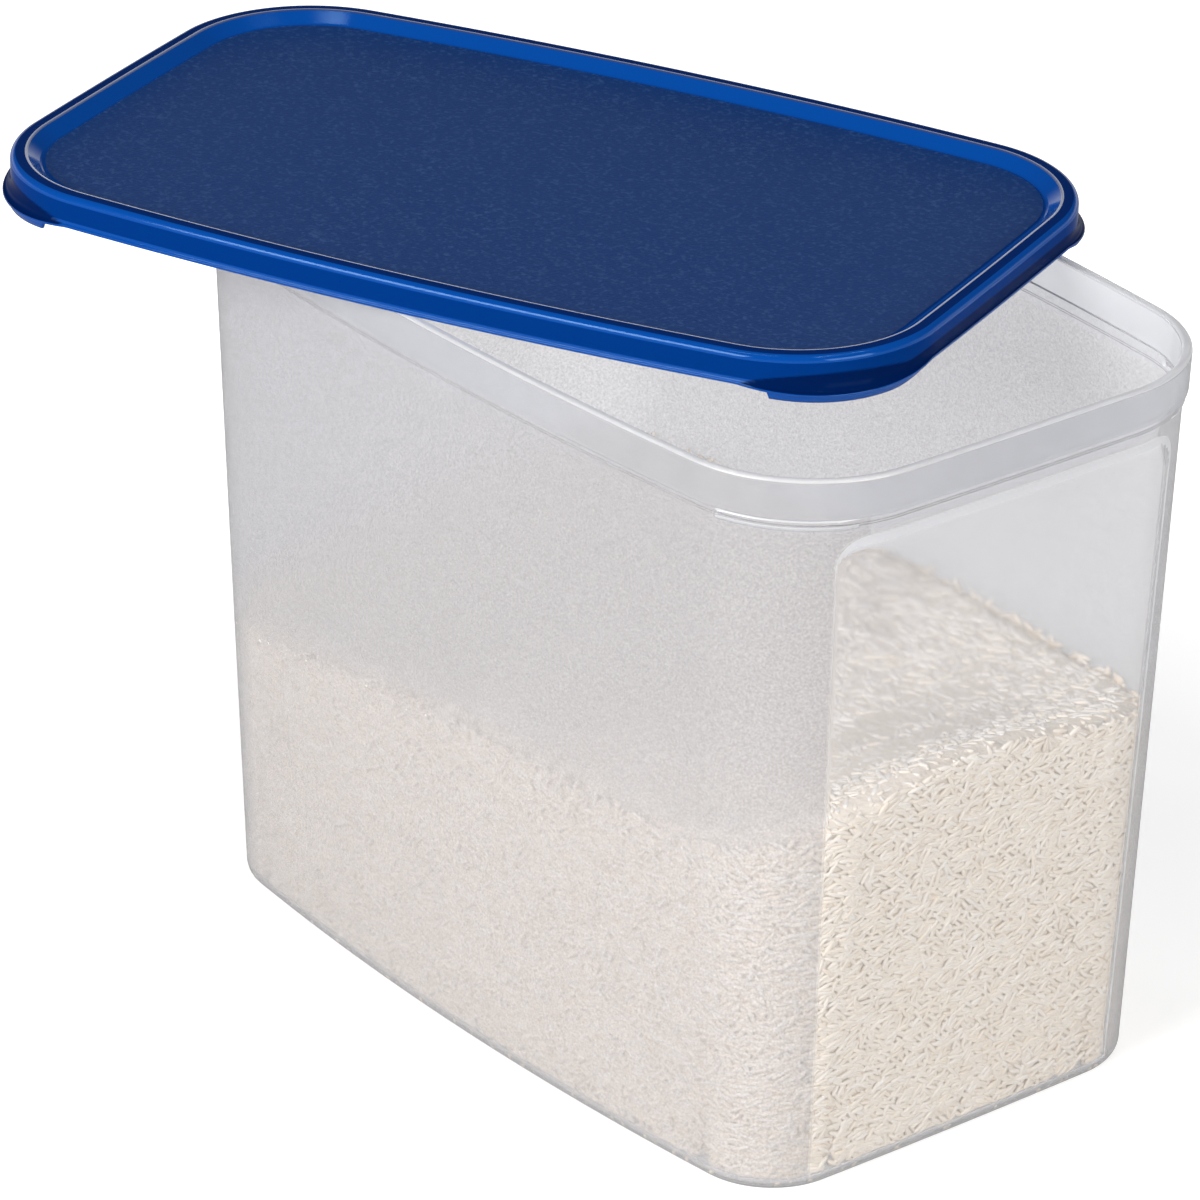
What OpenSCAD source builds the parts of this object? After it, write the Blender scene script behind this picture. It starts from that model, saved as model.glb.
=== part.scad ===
// Rice bin: a tapered see-through container, a press-on lid lying askew on its rim, and the rice in it.
// Origin: middle of the base, on the surface it stands on. +X is the windowed end, +Z is up.

/* [Container] */
// Length over the end walls at the top, at mid width
tub_length = 319.5; // [270:0.1:390]
// Width over the long walls at the top, at mid length
tub_width = 194.2; // [160:0.1:240]
// Height of the container
tub_height = 250; // [200:1:300]
// Lean of each end wall between top and base
end_draft = 15.4; // [8:0.1:20]
// Lean of each long wall between top and base
side_draft = 8; // [3:0.1:14]
// How far the middle of a long wall stands out past its ends
side_bow = 9; // [4:0.1:12]
// How far the middle of an end wall stands out past its sides
end_bow = 1.4; // [0.6:0.1:3]
// Corner radius at the top
top_corner_r = 46.5; // [36:0.5:58]
// Corner radius at the base
base_corner_r = 28.5; // [20:0.5:36]
// Thickness of the walls
wall = 1.8; // [1.2:0.1:2.4]
// Thickness of the floor
floor_t = 2.4; // [1.6:0.1:3.2]
// Rounding between the walls and the base
base_fillet = 5.1; // [4:0.1:7]

/* [Rim] */
// Height of the thick band at the top
rim_height = 13.5; // [9:0.1:16]
// How far the band stands out from the wall
rim_out = 1.5; // [1:0.1:2.6]
// Thickness of the band
rim_t = 3.3; // [2.8:0.1:4.2]
// Rounding of the band's top edges
rim_round = 1.2; // [0.6:0.1:1.4]
// Depth of the smooth lead-in inside the band
lead_in = 16; // [12:0.1:22]
// Height of the small bead under the band at each corner
bead_height = 2.8; // [1.5:0.1:4]
// How far that bead stands out from the wall
bead_out = 0.9; // [0.5:0.1:1.4]

/* [Window] */
// Width of the clear window in the +X end wall, at its upper edge
window_width = 135; // [90:1:150]
// How much nearer the middle each side of the window is at its lower edge
window_taper = 5.6; // [0:0.1:10]
// Height of the window's lower edge above the base
window_bottom = 10; // [8:0.5:30]
// Distance from the window's upper edge to the top of the container
window_margin = 20.2; // [18:0.1:40]
// Corner radius of the window
window_r = 10; // [4:0.5:16]
// How deep the window is sunk into the wall
window_depth = 0.8; // [0.4:0.1:1]

/* [Lid] */
// Thickness of the lid
lid_t = 1.4; // [1:0.1:2]
// Gap between the lid's skirt and the container's band when pressed on
lid_gap = 0.25; // [0.2:0.05:0.6]
// Height of the lid from its crown to the skirt's lower edge
lid_height = 10.7; // [9:0.1:14]
// Width of the raised crown round the edge
crown_width = 5.4; // [5.2:0.1:8]
// Width of the slope from the crown down to the panel
slope_width = 4.2; // [3:0.1:6]
// Depth of the panel below the crown
panel_depth = 3.5; // [3:0.1:5]
// Width of the small ridge along the skirt's lower edge
ridge_out = 0.6; // [0.4:0.1:1.2]
// Corner radius of the four pull tabs
tab_corner_r = 44.5; // [38:0.5:46]
// How far the tabs reach below the skirt
tab_drop = 2.2; // [1:0.1:4]
// Height of the thin lip under each tab
lip_height = 2.2; // [1:0.1:3.5]

/* [Lid at rest] */
// Turn of the loose lid about the vertical
lid_turn = 23.1; // [0:0.1:40]
// Shift of the loose lid along the container
lid_shift_x = -63.2; // [-80:0.1:0]
// Shift of the loose lid across the container
lid_shift_y = -9; // [-20:0.1:20]
// Gap between the skirt and the rim that it lies on
lid_rest_gap = 0.3; // [0.2:0.05:0.5]

/* [Rice] */
// Height of the rice along the back wall
rice_level = 125.5; // [60:0.5:180]
// How much lower it lies along the front wall
rice_front_dip = 8; // [0:0.5:15]
// Extra dip in the front corner away from the window
rice_corner_dip = 20; // [0:0.5:30]
// Height of the mound against the window
rice_mound = 19; // [0:0.5:30]
// Clearance between the rice solid and the container
rice_gap = 0.3; // [0.2:0.05:0.6]

/* [Hidden] */

// Where along a corner's arc the points lie, as shares of the arc.
// A pair of close points makes the square end of a lip or bead.
plain_corner = [0, 0.125, 0.25, 0.375, 0.5, 0.625, 0.75, 0.875, 1];
bead_from = 0.26;
bead_to = 0.88;
bead_corner = [0, 0.12, 0.245, bead_from, 0.37, 0.49, 0.6, 0.7, 0.79, bead_to, 0.895, 1];
lip_ramp = 0.08;
lip_to = 0.83;
lip_corner = [0, lip_ramp, 0.17, 0.26, 0.35, 0.44, 0.53, 0.62, 0.71, 0.78, lip_to, 0.842, 0.92, 1];
// Steps along half a long side and half an end
side_steps = 6;
end_steps = 3;

// Plan outline: four large arcs along the sides and four corner arcs, all tangent.
// Each point is found on the first quarter and mirrored into the others.
function quarter(len, wid, r, bow, ebow, off, shares) =
    let (a = len / 2, b = wid / 2)
    let (rs = (a * a + bow * bow) / (2 * bow), re = (b * b + ebow * ebow) / (2 * ebow))
    let (p = [0, b - rs], q = [a - re, 0])
    let (u = rs - r, v = re - r, d = norm(q - p), e = (q - p) / d)
    let (m = (u * u - v * v + d * d) / (2 * d), h = sqrt(u * u - m * m))
    let (c = p + m * e + h * [e.y, -e.x])
    let (t0 = atan2(c.y - q.y, c.x - q.x), t1 = atan2(c.y - p.y, c.x - p.x))
    concat(
        [for (i = [0:end_steps - 1]) let (t = t0 * i / end_steps) q + (re + off) * [cos(t), sin(t)]],
        [for (s = shares) let (t = t0 + s * (t1 - t0)) c + (r + off) * [cos(t), sin(t)]],
        [for (i = [1:side_steps])
            let (t = t1 + (90 - t1) * i / side_steps) p + (rs + off) * [cos(t), sin(t)]]
    );

// The share of the corner arc at each point of a quarter, or -1 off the corner
function quarter_shares(shares) =
    concat([for (i = [0:end_steps - 1]) -1], shares, [for (i = [1:side_steps]) -1]);

// A whole closed ring of values from those of one quarter: there and back, twice round
function ring_order(n) =
    concat([for (i = [0:n - 1]) i], [for (i = [n - 2:-1:0]) i],
        [for (i = [1:n - 1]) i], [for (i = [n - 2:-1:1]) i]);
function ring_signs(n) =
    concat([for (i = [0:n - 1]) [1, 1]], [for (i = [n - 2:-1:0]) [-1, 1]],
        [for (i = [1:n - 1]) [-1, -1]], [for (i = [n - 2:-1:1]) [1, -1]]);
function whole(q) =
    let (n = len(q), o = ring_order(n), s = ring_signs(n))
    [for (i = [0:len(o) - 1]) [q[o[i]].x * s[i].x, q[o[i]].y * s[i].y]];
function whole_shares(shares) =
    let (q = quarter_shares(shares))
    [for (i = ring_order(len(q))) q[i]];

// Outline of the container's outer wall at height z, grown by off
function tub_ring(z, off, shares) =
    let (t = z / tub_height)
    let (len = tub_length - 2 * end_draft * (1 - t), wid = tub_width - 2 * side_draft * (1 - t))
    let (r = base_corner_r + (top_corner_r - base_corner_r) * t)
    whole(quarter(len, wid, r, side_bow, end_bow, off, shares));

// One level of a skin: the outline at that height, each point with its own z
function level(ring, z) = [for (p = ring) [p.x, p.y, z]];

// Closed solid through a list of rings, from the one that caps its underside
module skin(rings) {
    n = len(rings[0]);
    last = (len(rings) - 1) * n;
    sides = [for (k = [0:len(rings) - 2], i = [0:n - 1])
        let (a = k * n + i, b = k * n + (i + 1) % n, c = b + n, d = a + n)
        each [[a, d, c], [a, c, b]]];
    caps = [[for (i = [0:n - 1]) i], [for (i = [n - 1:-1:0]) last + i]];
    polyhedron(points = [for (r = rings) each r], faces = concat(sides, caps), convexity = 8);
}

// ---- container ----
tub_shares = whole_shares(bead_corner);
inner_fillet = base_fillet - wall;
band_bottom = tub_height - rim_height;
bead_foot = band_bottom - bead_height - bead_out;

function wall_level(z, off) = level(tub_ring(z, off, bead_corner), z);
// The outline with the corner beads pushed out
function bead_level(z, out) =
    let (flat = tub_ring(z, 0, bead_corner), proud = tub_ring(z, out, bead_corner))
    [for (i = [0:len(flat) - 1])
        let (s = tub_shares[i], p = s >= bead_from && s <= bead_to ? proud[i] : flat[i]) [p.x, p.y, z]];

// From the edge of the base up the outside, over the rim and down the inside to the floor
tub_rings = concat(
    [for (a = [0:22.5:90]) wall_level(base_fillet * (1 - cos(a)), base_fillet * (sin(a) - 1))],
    [bead_level(bead_foot, 0)],
    [bead_level(band_bottom - bead_height, bead_out)],
    [bead_level(band_bottom - bead_out, bead_out)],
    [wall_level(band_bottom, 0)],
    [wall_level(band_bottom, rim_out)],
    [for (a = [0:30:90])
        wall_level(tub_height - rim_round * (1 - sin(a)), rim_out - rim_round * (1 - cos(a)))],
    [for (a = [90:-30:0])
        wall_level(tub_height - rim_round * (1 - sin(a)), rim_out - rim_t + rim_round * (1 - cos(a)))],
    [wall_level(tub_height - lead_in, rim_out - rim_t)],
    [wall_level(tub_height - lead_in - wall / 3, -wall)],
    [for (a = [90:-22.5:0])
        wall_level(floor_t + inner_fillet * (1 - cos(a)), -wall - inner_fillet * (1 - sin(a)))]
);

window_top = tub_height - window_margin;

// The window's outline, with y across and z up
module window_outline() {
    head = window_width / 2 - window_r;
    foot = head - window_taper;
    hull()
        for (side = [-1, 1]) {
            translate([side * head, window_top - window_r])
                circle(window_r, $fn = 32);
            translate([side * foot, window_bottom + window_r])
                circle(window_r, $fn = 32);
        }
}

// The space in front of the sunken window: its outline run outwards from a shell inside the wall
module window_space() {
    difference() {
        translate([tub_length / 4, 0, 0])
            rotate([90, 0, 90])
                linear_extrude(height = tub_length / 2)
                    window_outline();
        skin([wall_level(base_fillet, -window_depth), wall_level(bead_foot, -window_depth)]);
    }
}

module container() {
    color("Gainsboro", 0.5)
        difference() {
            skin(tub_rings);
            window_space();
        }
}

// ---- lid, drawn with its crown at z = 0 and then laid on the rim ----
lid_shares = whole_shares(lip_corner);
skirt_off = rim_out + lid_gap + lid_t;
panel_off = -crown_width - slope_width;
slope_len = norm([slope_width, panel_depth]);
// The slope's underside lies one thickness below it, square to it
under = lid_t * [panel_depth, slope_width] / slope_len;
// The slope is a little hollow: how far its middle line is sunk
slope_sink = 0.2;
// Roundings of the crown's outer edge, its inner edge and the corner under it
crown_round = 2.4;
crown_edge = 0.3;
inner_round = 0.7;
// Groove round the panel
groove_width = 1.8;
groove_depth = 0.4;
// Snap bead inside the skirt: how far it stands in, how high it starts and its height
snap_in = 0.45;
snap_foot = 0.4;
snap_height = 1.4;
// Ridge along the skirt's lower edge
ridge_height = 1.2;
ridge_round = 0.3;
ridge_root = 1.4;
// Shares of the tab's reach at the thin lip's inner and outer faces
lip_inner = 0.35;
lip_outer = 0.5;

// How far a tab's own corner arc stands out past the skirt's corner at a share of the quarter turn
skirt_corner_r = top_corner_r + skirt_off;
tab_shift = skirt_corner_r - tab_corner_r;
function tab_out(s) = s < 0 ? 0 :
    let (t = 90 * s, along = tab_shift * (cos(t) + sin(t)), across = tab_shift * (cos(t) - sin(t)))
    max(0, along + sqrt(tab_corner_r * tab_corner_r - across * across) - skirt_corner_r);
tab_most = tab_out(0.5);

// One level of the lid: off from the skirt's face, z below the crown,
// tab = share of the tab's reach, drop = how far the tab pulls it down, lip = how far the lip does
function lid_level(off, z, tab = 0, drop = 0, lip = 0) =
    let (base = tub_ring(tub_height, skirt_off + off, lip_corner))
    let (far = tub_ring(tub_height, skirt_off + off + tab_most, lip_corner))
    [for (i = [0:len(base) - 1])
        let (s = lid_shares[i], w = tab_out(s) / tab_most)
        let (p = base[i] + (far[i] - base[i]) * w * tab)
        let (hang = s >= 0 && s <= lip_to ? min(1, s / lip_ramp) : 0)
        [p.x, p.y, z - drop * w - lip * hang]];

// From the middle of the underside out and down to the lip, round the tab, up the skirt and in to the panel
lid_foot = -lid_height;
lid_rings = concat(
    [lid_level(panel_off - under.x / 2, -panel_depth - lid_t)],
    [lid_level(panel_off + under.x, -panel_depth - under.y)],
    [lid_level(-crown_width + under.x, -under.y)],
    [lid_level(-lid_t - inner_round, -lid_t)],
    [lid_level(-lid_t, -lid_t - inner_round)],
    [lid_level(-lid_t, lid_foot + snap_foot + snap_height)],
    [lid_level(-lid_t - snap_in, lid_foot + snap_foot + snap_height - snap_in)],
    [lid_level(-lid_t - snap_in, lid_foot + snap_foot + snap_in)],
    [lid_level(-lid_t, lid_foot + snap_foot / 4, 0.1, tab_drop / 2)],
    [lid_level(-lid_t / 2, lid_foot, lip_inner, tab_drop, lip_height)],
    [lid_level(0, lid_foot, lip_outer, tab_drop, lip_height)],
    [lid_level(ridge_round, lid_foot, lip_outer + 0.05, tab_drop)],
    [lid_level(ridge_out - ridge_round, lid_foot, 0.9, tab_drop)],
    [lid_level(ridge_out, lid_foot + ridge_round, 1, tab_drop)],
    [lid_level(ridge_out, lid_foot + ridge_height - ridge_round, 1, tab_drop)],
    [lid_level(ridge_out - ridge_round, lid_foot + ridge_height, 0.92, tab_drop)],
    [lid_level(0.1, lid_foot + ridge_height + ridge_root / 3, 0.25, tab_drop / 2)],
    [lid_level(0, lid_foot + ridge_height + ridge_root)],
    [for (a = [0:30:90]) lid_level(-crown_round * (1 - cos(a)), -crown_round * (1 - sin(a)))],
    [lid_level(-crown_width + crown_edge, 0)],
    [lid_level(-crown_width, -crown_edge)],
    [lid_level(panel_off + slope_width / 2, -panel_depth / 2 - slope_sink)],
    [lid_level(panel_off, -panel_depth)],
    [lid_level(panel_off - groove_width / 3, -panel_depth - groove_depth)],
    [lid_level(panel_off - groove_width * 2 / 3, -panel_depth - groove_depth)],
    [lid_level(panel_off - groove_width, -panel_depth)]
);

lid_rest_z = tub_height + lid_rest_gap + lid_height;

module lid() {
    color("RoyalBlue")
        translate([lid_shift_x, lid_shift_y, lid_rest_z])
            rotate([0, 0, lid_turn])
                skin(lid_rings);
}

// ---- rice ----
rice_n = len(whole_shares(plain_corner));
rice_foot = tub_ring(0, -wall - rice_gap, plain_corner);
rice_head = tub_ring(tub_height, -wall - rice_gap, plain_corner);

// Where the corner dip and the mound lie and how wide they are, as shares of the container
dip_place = [-0.45, 0.28];
mound_place = [0.48, -0.06];
mound_spread = [0.118, 0.386];

// A smooth hill: 1 at its place, falling away over its spread
function hill(x, place, spread) = exp(-pow((x - place) / spread, 2));

// Height of the rice over a place: a level bed that dips to the front, with a mound at the window
function rice_height(x, y) =
    let (u = x / tub_length, v = y / tub_width)
    let (front = min(1, max(0, 0.5 - v)))
    let (corner = hill(u, dip_place[0], dip_place[1]))
    let (mound = hill(u, mound_place.x, mound_spread.x) * hill(v, mound_place.y, mound_spread.y))
    rice_level - front * (rice_front_dip + rice_corner_dip * corner) + rice_mound * mound;

// A point on the rice's own side wall at height z, and the top edge where the surface meets it
function rice_side(i, z) = rice_foot[i] + (rice_head[i] - rice_foot[i]) * z / tub_height;
rice_edge = [for (i = [0:rice_n - 1])
    let (p = rice_side(i, rice_level), z = rice_height(p.x, p.y), q = rice_side(i, z)) [q.x, q.y, z]];
function rice_surface(share) = [for (p = rice_edge)
    let (x = p.x * share, y = p.y * share) [x, y, share == 1 ? p.z : rice_height(x, y)]];

module rice() {
    foot = level(tub_ring(floor_t, -wall - inner_fillet - rice_gap, plain_corner), floor_t + rice_gap);
    side = [for (i = [0:rice_n - 1])
        let (z = floor_t + inner_fillet, p = rice_side(i, z)) [p.x, p.y, z + rice_gap]];
    color("AntiqueWhite")
        skin(concat([foot, side], [for (s = [1, 0.85, 0.65, 0.4, 0.15, 0.02]) rice_surface(s)]));
}

container();
lid();
rice();
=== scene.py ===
import bpy
import numpy as np
from mathutils import Matrix, Quaternion, Vector


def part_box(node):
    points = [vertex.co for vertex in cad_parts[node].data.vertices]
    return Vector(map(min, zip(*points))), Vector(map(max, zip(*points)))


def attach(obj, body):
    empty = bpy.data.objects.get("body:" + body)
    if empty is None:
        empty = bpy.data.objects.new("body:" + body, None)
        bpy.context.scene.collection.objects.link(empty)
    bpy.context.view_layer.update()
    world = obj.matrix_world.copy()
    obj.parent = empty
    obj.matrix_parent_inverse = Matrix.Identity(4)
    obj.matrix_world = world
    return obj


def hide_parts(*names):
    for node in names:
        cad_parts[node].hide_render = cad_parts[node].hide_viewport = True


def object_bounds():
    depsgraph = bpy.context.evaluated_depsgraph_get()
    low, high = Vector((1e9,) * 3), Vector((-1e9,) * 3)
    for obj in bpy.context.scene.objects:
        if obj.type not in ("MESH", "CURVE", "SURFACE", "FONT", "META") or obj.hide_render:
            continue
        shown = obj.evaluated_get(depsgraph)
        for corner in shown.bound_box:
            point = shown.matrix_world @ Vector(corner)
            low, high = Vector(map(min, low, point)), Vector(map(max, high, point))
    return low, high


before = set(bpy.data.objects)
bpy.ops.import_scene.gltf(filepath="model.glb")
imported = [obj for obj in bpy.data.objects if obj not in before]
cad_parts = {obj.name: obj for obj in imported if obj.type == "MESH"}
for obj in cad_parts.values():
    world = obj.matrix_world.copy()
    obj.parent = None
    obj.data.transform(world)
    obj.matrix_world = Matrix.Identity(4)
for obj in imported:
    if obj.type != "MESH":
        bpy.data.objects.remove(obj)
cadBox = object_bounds()
mm = 0.001
print("frame loaded:", sorted(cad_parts))

camera = dict(
    place=(1544.4, -1277.5, 1111.1),  # mm
    target=(-16.8, -19.8, 129.3),  # mm
    lens=207.83,
    sensor=36.0,
    roll=0.9,  # degrees, the picture turned this far round its middle
    clip=(0.05, 50),  # m
)


# A frame whose third axis points from the target back to the camera and whose first is level, then the first
# two turned about the third by the roll
def makeCamera(c):
    place, target = Vector(c["place"]) * mm, Vector(c["target"]) * mm
    back = (place - target).normalized()
    right = Vector((0, 0, 1)).cross(back).normalized()
    up = back.cross(right)
    turn = np.radians(c["roll"])
    right, up = right * np.cos(turn) + up * np.sin(turn), up * np.cos(turn) - right * np.sin(turn)
    data = bpy.data.cameras.new("camera")
    data.lens, data.sensor_width = c["lens"], c["sensor"]
    data.clip_start, data.clip_end = c["clip"]
    made = bpy.data.objects.new("camera", data)
    made.matrix_world = Matrix.Translation(place) @ Matrix((right, up, back)).transposed().to_4x4()
    bpy.context.scene.collection.objects.link(made)
    bpy.context.scene.camera = made


makeCamera(camera)


# A material with an emptied node tree, and its output node
def newMaterial(name):
    made = bpy.data.materials.new(name)
    made.use_nodes = True
    tree = made.node_tree
    tree.nodes.clear()
    return made, tree, tree.nodes.new("ShaderNodeOutputMaterial")


# A node with its sockets and settings filled in; a socket given as another node's output is linked
def node(tree, kind, settings=None, **sockets):
    made = tree.nodes.new("ShaderNode" + kind)
    for key, value in (settings or {}).items():
        setattr(made, key, value)
    for key, value in sockets.items():
        name = key.replace("_", " ")
        socket = made.inputs[int(name[1:])] if name[0] == "i" and name[1:].isdigit() else made.inputs[name]
        if isinstance(value, bpy.types.NodeSocket):
            tree.links.new(value, socket)
        else:
            socket.default_value = value
    return made


# One sum, product or other step between two numbers
def maths(tree, operation, a, b=0.0):
    return node(tree, "Math", dict(operation=operation), i0=a, i1=b).outputs[0]


# A number mapped from one range to another and held at its ends
def remap(tree, value, low, high, toLow=0.0, toHigh=1.0):
    made = node(tree, "MapRange", dict(clamp=True), Value=value)
    for name, number in (("From Min", low), ("From Max", high), ("To Min", toLow), ("To Max", toHigh)):
        made.inputs[name].default_value = number
    return made.outputs["Result"]


# One of two colours, or a blend of them
def blendColour(tree, share, a, b):
    made = node(tree, "Mix", dict(data_type="RGBA"))
    for index, value in ((0, share), (6, a), (7, b)):
        if isinstance(value, bpy.types.NodeSocket):
            tree.links.new(value, made.inputs[index])
        else:
            made.inputs[index].default_value = value
    return made.outputs[2]


# Each point's place in the object's own frame, in m
def objectPlace(tree):
    return node(tree, "TexCoord").outputs["Object"]


# The attribute that a mesh carries on its points
def carried(tree, name):
    return node(tree, "Attribute", dict(attribute_name=name)).outputs["Fac"]


studio = dict(
    low=(0.42, 0.42, 0.42),  # what the room gives a surface from the horizon
    high=(0.08, 0.08, 0.085),  # and from overhead
    overhead=0.9,  # the height of a direction, as a share of its length, that counts as overhead
    fillFrom=(-0.5, 0.85, 0.1),  # the side of the room that gives more light
    fill=1.3,  # how much more
    mirrorHigh=0.02,  # how bright overhead looks in a gloss
    mirrorBand=(0.08, 0.27),  # a gloss sees a white room below the first height and overhead above the second
    floorHalf=6.0,  # m from the middle to its sides
    floorGlow=(0.56, 1.0),  # round the object, and far from it
    glowReach=(0.24, 0.62),  # m from the middle, where the one gives way to the other
    floorColour=(0.72, 0.72, 0.72, 1),
    floorMirror=0.4,  # how bright it looks in a gloss
    floorThrough=0.73,  # how much of its glow is seen through the walls
    lamps=(  # name, azimuth, elevation, distance m, width m, height m, watts, degrees turned in its own plane
        ("keyLamp", 2, 28, 2.6, 1.5, 1.0, 59, 0),
        ("sideLamp", 92, 20, 2.6, 1.4, 1.0, 27.5, 0),
        ("stripLamp0", 92, 67, 2.2, 0.26, 0.08, 2.0, 0),
        ("stripLamp1", 134.4, 68.4, 2.2, 0.66, 0.07, 2.4, -48.3),
        ("stripLamp2", -4, 75.5, 2.2, 0.68, 0.07, 2.5, 39.5),
    ),
)


# True for rays that look straight at a surface or through glass
def seenRays(tree):
    path = node(tree, "LightPath").outputs
    return path, maths(tree, "MAXIMUM", path["Is Camera Ray"], path["Is Transmission Ray"])


# The room: its light falls evenly from the horizon's level to the level overhead, and is stronger by how far
# the direction leans to the fill's side; a gloss sees a white band low down, and eyes and glass see white
def makeWorld(s):
    world = bpy.data.worlds.new("room")
    bpy.context.scene.world = world
    world.use_nodes = True
    tree = world.node_tree
    tree.nodes.clear()
    toward = node(tree, "TexCoord").outputs["Generated"]
    direction = node(tree, "SeparateXYZ", Vector=toward).outputs["Z"]
    rise = remap(tree, direction, 0.0, s["overhead"])
    facing = node(tree, "VectorMath", dict(operation="DOT_PRODUCT"), i0=toward, i1=s["fillFrom"])
    more = remap(tree, facing.outputs["Value"], 0.0, 1.0, 1.0, 1.0 + s["fill"])
    room = blendColour(tree, rise, (*s["low"], 1), (*s["high"], 1))
    room = node(tree, "VectorMath", dict(operation="SCALE"), i0=room, Scale=more).outputs["Vector"]
    path, seen = seenRays(tree)
    high = s["mirrorHigh"]
    mirror = blendColour(tree, remap(tree, direction, *s["mirrorBand"]), (1, 1, 1, 1), (high, high, high, 1))
    colour = blendColour(tree, path["Is Glossy Ray"], room, mirror)
    colour = blendColour(tree, seen, colour, (1, 1, 1, 1))
    background = node(tree, "Background", Color=colour, Strength=1.0)
    world.cycles.sampling_method = "NONE"  # its colour depends on the kind of ray
    output = node(tree, "OutputWorld")
    tree.links.new(background.outputs[0], output.inputs["Surface"])


# Area lamps on a sphere round the middle of the object, each turned to face it
def makeLamps(s):
    middle = (cadBox[0] + cadBox[1]) / 2
    for name, azimuth, elevation, distance, width, height, watts, spin in s["lamps"]:
        a, e = np.radians(azimuth), np.radians(elevation)
        out = Vector((np.sin(a) * np.cos(e), -np.cos(a) * np.cos(e), np.sin(e)))
        data = bpy.data.lights.new(name, "AREA")
        data.shape, data.size, data.size_y, data.energy = "RECTANGLE", width, height, watts
        lamp = bpy.data.objects.new(name, data)
        lamp.location = middle + out * distance
        turned = Quaternion((0, 0, 1), np.radians(spin))
        lamp.rotation_euler = (out.to_track_quat("Z", "Y") @ turned).to_euler()
        bpy.context.scene.collection.objects.link(lamp)


# A level square whose colour keeps the shadow, with a glow that only eyes and glass see and that grows evenly
# with the distance from the object, and one plain level to a gloss
def makeFloor(s):
    half = s["floorHalf"]
    mesh = bpy.data.meshes.new("floor")
    corners = [(-half, -half, 0), (half, -half, 0), (half, half, 0), (-half, half, 0)]
    mesh.from_pydata(corners, [], [(0, 1, 2, 3)])
    floor = bpy.data.objects.new("floor", mesh)
    bpy.context.scene.collection.objects.link(floor)
    made, tree, output = newMaterial("floor")
    colour = node(tree, "BsdfDiffuse", Color=s["floorColour"])
    away = node(tree, "VectorMath", dict(operation="LENGTH"), i0=objectPlace(tree)).outputs["Value"]
    strength = remap(tree, away, *s["glowReach"], *s["floorGlow"])
    path, seen = seenRays(tree)
    through = remap(tree, path["Is Transmission Ray"], 0.0, 1.0, 1.0, s["floorThrough"])
    seenGlow = maths(tree, "MULTIPLY", maths(tree, "MULTIPLY", seen, strength), through)
    glow = node(tree, "Emission", Strength=seenGlow)
    both = node(tree, "AddShader", i0=colour.outputs[0], i1=glow.outputs[0])
    plain = node(tree, "Emission", Color=(1, 1, 1, 1), Strength=s["floorMirror"])
    mirrored = maths(tree, "SUBTRACT", path["Is Glossy Ray"], path["Is Transmission Ray"])
    shown = node(tree, "MixShader", i0=mirrored, i1=both.outputs[0], i2=plain.outputs[0])
    tree.links.new(shown.outputs[0], output.inputs["Surface"])
    made.cycles.emission_sampling = "NONE"
    mesh.materials.append(made)


makeWorld(studio)
makeLamps(studio)
makeFloor(studio)
bpy.context.scene.view_settings.view_transform = "Standard"
print("camera, room and lamps made")


# A closed skin over rings of points, rows x columns x 3, with a pole at each end
def skinMesh(name, rings, attributes=None):
    rows, columns = rings.shape[:2]
    poles = np.array([rings[0].mean(axis=0), rings[-1].mean(axis=0)])
    points = np.concatenate([rings.reshape(-1, 3), poles])
    row, column = np.meshgrid(np.arange(rows - 1), np.arange(columns), indexing="ij")
    here, along = row * columns + column, row * columns + (column + 1) % columns
    quads = np.stack([here, along, along + columns, here + columns], axis=-1).reshape(-1, 4)
    column = np.arange(columns)
    beside = (column + 1) % columns
    last = (rows - 1) * columns
    foot = np.stack([np.full(columns, len(points) - 2), beside, column], axis=-1)
    head = np.stack([np.full(columns, len(points) - 1), last + column, last + beside], axis=-1)
    mesh = bpy.data.meshes.new(name)
    mesh.from_pydata(points.tolist(), [], quads.tolist() + foot.tolist() + head.tolist())
    mesh.polygons.foreach_set("use_smooth", np.ones(len(mesh.polygons), bool))
    for key, values in (attributes or {}).items():
        flat = np.concatenate([values.reshape(-1), [values[0].mean(), values[-1].mean()]])
        mesh.attributes.new(key, "FLOAT", "POINT").data.foreach_set("value", flat.astype(np.float32))
    return mesh


# A finished piece at the origin, on its body and with its materials, in place of a CAD node where one is
# named
def addPiece(name, mesh, body, cadNode, materials):
    piece = bpy.data.objects.new(name, mesh)
    bpy.context.scene.collection.objects.link(piece)
    for material in materials:
        mesh.materials.append(material)
    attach(piece, body)
    if cadNode:
        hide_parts(cadNode)


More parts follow.
